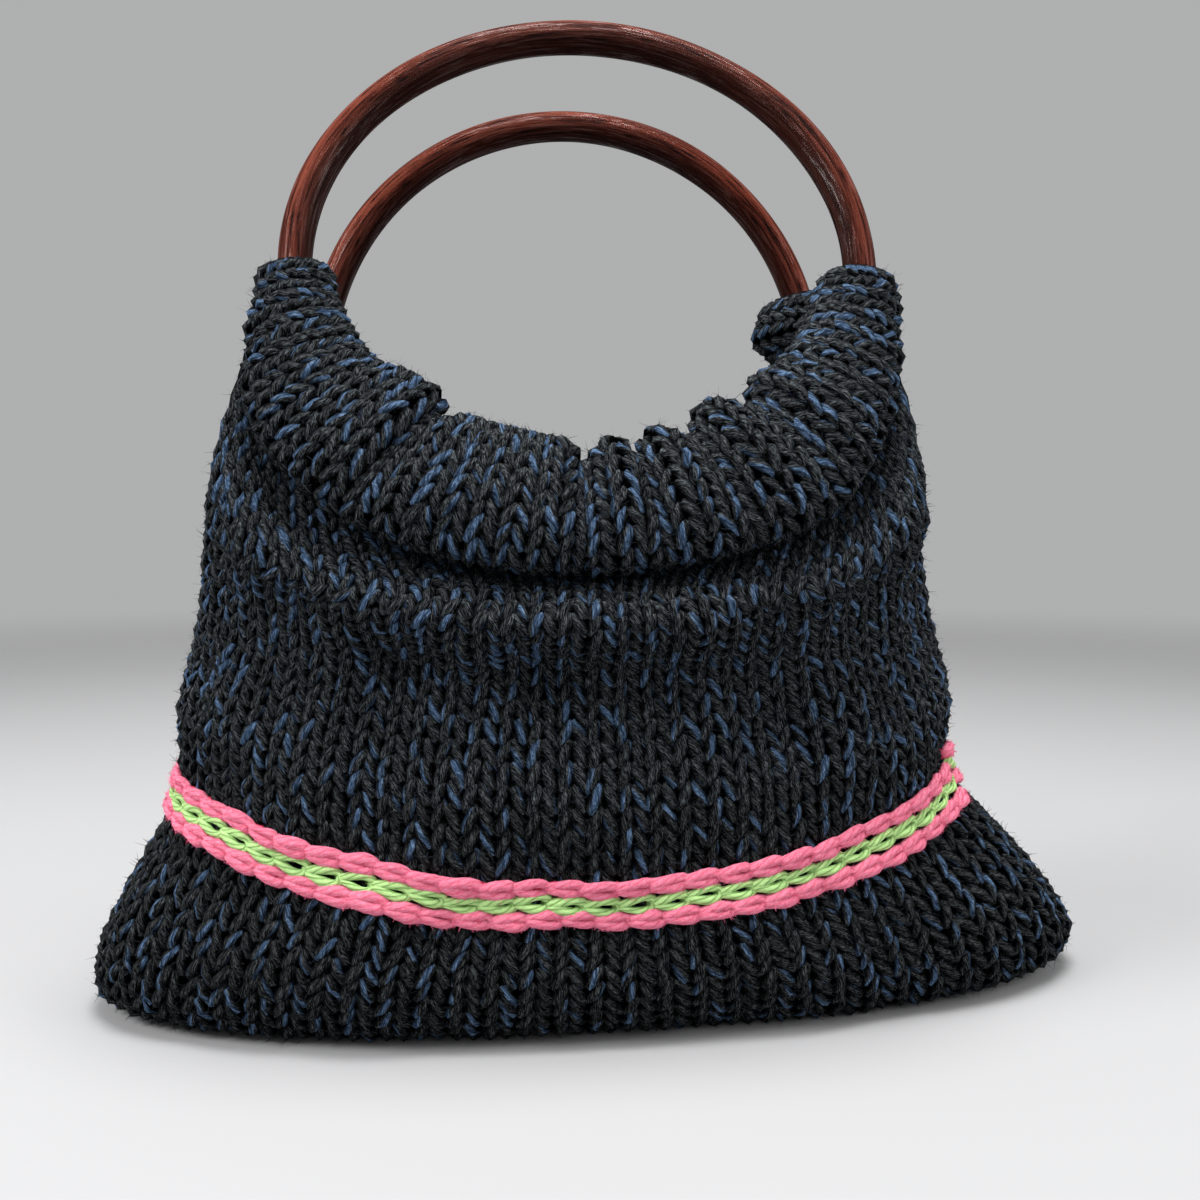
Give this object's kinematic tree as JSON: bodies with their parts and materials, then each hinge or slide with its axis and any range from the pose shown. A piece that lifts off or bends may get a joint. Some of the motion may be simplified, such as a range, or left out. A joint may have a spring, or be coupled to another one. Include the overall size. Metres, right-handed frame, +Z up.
{
  "type": "knitted hand bag",
  "caption": "Chunky knitted hand bag that flares to a wide base, with gathered casings on round cane ring handles and crocheted chain stripes round the body.",
  "frame": {"origin": "middle of the bag's footprint box, on the ground that it stands on", "axes": "+X to the bag's right as seen from the front, +Y from the front to the back, +Z up"},
  "size_m": [0.335, 0.1378, 0.3328],
  "materials": {
    "knit": "matt charcoal yarn flecked with denim blue, slightly fuzzy",
    "cane": "dark red-brown lacquered cane with lengthwise grain",
    "pink_yarn": "matt hot pink yarn",
    "green_yarn": "matt lime green yarn"
  },
  "bodies": {
    "root": {"front_panel": "knit", "back_panel": "knit", "front_casing": "knit", "back_casing": "knit", "front_ring": "cane", "back_ring": "cane", "stripe_pink_upper": "pink_yarn", "stripe_green": "green_yarn", "stripe_pink_lower": "pink_yarn"}
  },
  "joints": []
}
